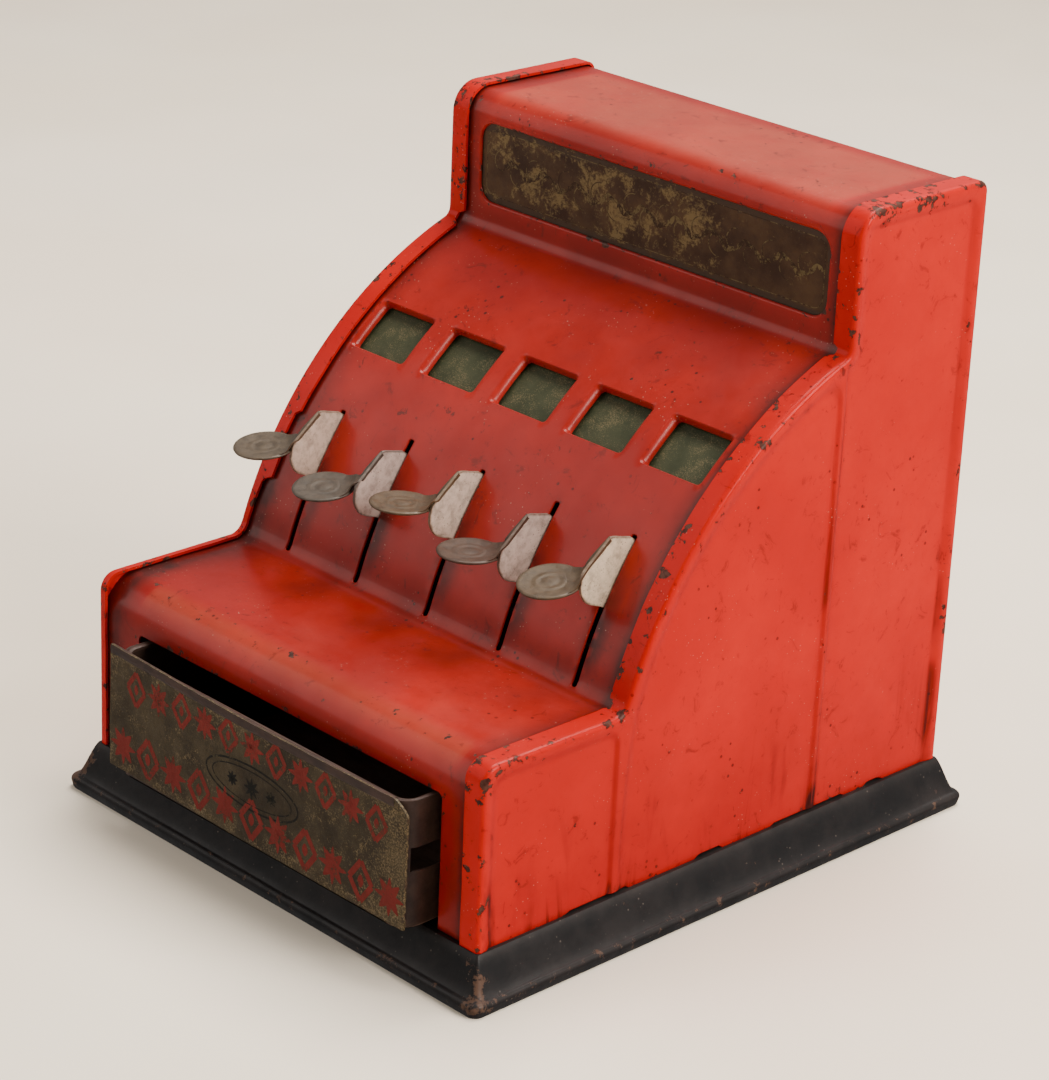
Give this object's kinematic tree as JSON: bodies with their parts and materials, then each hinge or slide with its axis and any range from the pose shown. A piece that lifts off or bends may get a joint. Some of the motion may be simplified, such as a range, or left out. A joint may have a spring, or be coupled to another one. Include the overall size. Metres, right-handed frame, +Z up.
{
  "type": "toy cash register",
  "caption": "Toy cash register in red sheet metal: sprung keys with number flags, a bell and a sliding cash drawer on a black pressed base.",
  "frame": {"origin": "on the floor at the centre of the whole footprint, with the drawer at rest", "axes": "+Z up, the front with the drawer faces -Y, +X to the right of someone facing the back from the front"},
  "size_m": [0.149, 0.171, 0.1629],
  "materials": {
    "red_enamel": "semi-gloss enamel, worn and chipped at its edges",
    "black_enamel": "satin, worn brown at its edges",
    "printed_label": "aged print, satin",
    "printed_drawer_front": "aged print, satin",
    "key_steel": "dull, stained",
    "green_flag": "satin",
    "brown_tin": "satin",
    "brass": "tarnished",
    "dull_steel": "dull"
  },
  "bodies": {
    "case": {"base_pan": "black_enamel", "left_side": "red_enamel", "right_side": "red_enamel", "front_cover": "red_enamel", "back_plate": "red_enamel", "marquee_plate": "printed_label", "pivot_bracket": "dull_steel", "bracket_rivets": "dull_steel", "key_shaft": "dull_steel", "shaft_spacers": "dull_steel", "shaft_caps": "dull_steel", "key_spring_1": "dull_steel", "key_spring_2": "dull_steel", "key_spring_3": "dull_steel", "key_spring_4": "dull_steel", "key_spring_5": "dull_steel", "bail_spring": "dull_steel", "bell_post": "dull_steel", "bell_gong": "brass", "bell_nut": "dull_steel", "drawer_guides": "dull_steel", "guide_rivets": "dull_steel", "drawer_latch": "dull_steel", "latch_rivets": "dull_steel", "spring_stop": "dull_steel", "drawer_spring": "dull_steel"},
    "key_1": {"key_lever_1": "key_steel", "number_flag_1": "green_flag"},
    "key_2": {"key_lever_2": "key_steel", "number_flag_2": "green_flag"},
    "key_3": {"key_lever_3": "key_steel", "number_flag_3": "green_flag"},
    "key_4": {"key_lever_4": "key_steel", "number_flag_4": "green_flag"},
    "key_5": {"key_lever_5": "key_steel", "number_flag_5": "green_flag"},
    "trip_bail": {"trip_bail": "dull_steel", "release_finger": "dull_steel", "hammer_strip": "dull_steel", "hammer_head": "dull_steel"},
    "drawer": {"drawer_tray": "brown_tin", "drawer_front": "printed_drawer_front", "drawer_catch": "brown_tin"}
  },
  "joints": [
    {"name": "key_1_press", "type": "hinge", "parent": "case", "child": "key_1", "pos_m": [0, 0.0708, 0.025], "axis": [1, 0, 0], "range_deg": [0, 9.5], "stiffness_Nm_per_rad": 0.6, "springref_deg": -1.6, "deforming": ["key_spring_1"]},
    {"name": "key_2_press", "type": "hinge", "parent": "case", "child": "key_2", "pos_m": [0, 0.0708, 0.025], "axis": [1, 0, 0], "range_deg": [-1.4, 8.1], "stiffness_Nm_per_rad": 0.6, "springref_deg": -1.6, "deforming": ["key_spring_2"]},
    {"name": "key_3_press", "type": "hinge", "parent": "case", "child": "key_3", "pos_m": [0, 0.0708, 0.025], "axis": [1, 0, 0], "range_deg": [0, 9.5], "stiffness_Nm_per_rad": 0.6, "springref_deg": -1.6, "deforming": ["key_spring_3"]},
    {"name": "key_4_press", "type": "hinge", "parent": "case", "child": "key_4", "pos_m": [0, 0.0708, 0.025], "axis": [1, 0, 0], "range_deg": [-1.4, 8.1], "stiffness_Nm_per_rad": 0.6, "springref_deg": -1.6, "deforming": ["key_spring_4"]},
    {"name": "key_5_press", "type": "hinge", "parent": "case", "child": "key_5", "pos_m": [0, 0.0708, 0.025], "axis": [1, 0, 0], "range_deg": [0, 9.5], "stiffness_Nm_per_rad": 0.6, "springref_deg": -1.6, "deforming": ["key_spring_5"]},
    {"name": "bail_trip", "type": "hinge", "parent": "case", "child": "trip_bail", "pos_m": [0, 0.0708, 0.025], "axis": [1, 0, 0], "range_deg": [0, 3], "stiffness_Nm_per_rad": 1, "springref_deg": -1.2, "deforming": ["bail_spring", "drawer_latch"]},
    {"name": "drawer_slide", "type": "slide", "parent": "case", "child": "drawer", "axis": [0, -1, 0], "range_m": [-0.0075, 0.059], "deforming": ["drawer_spring"]}
  ]
}
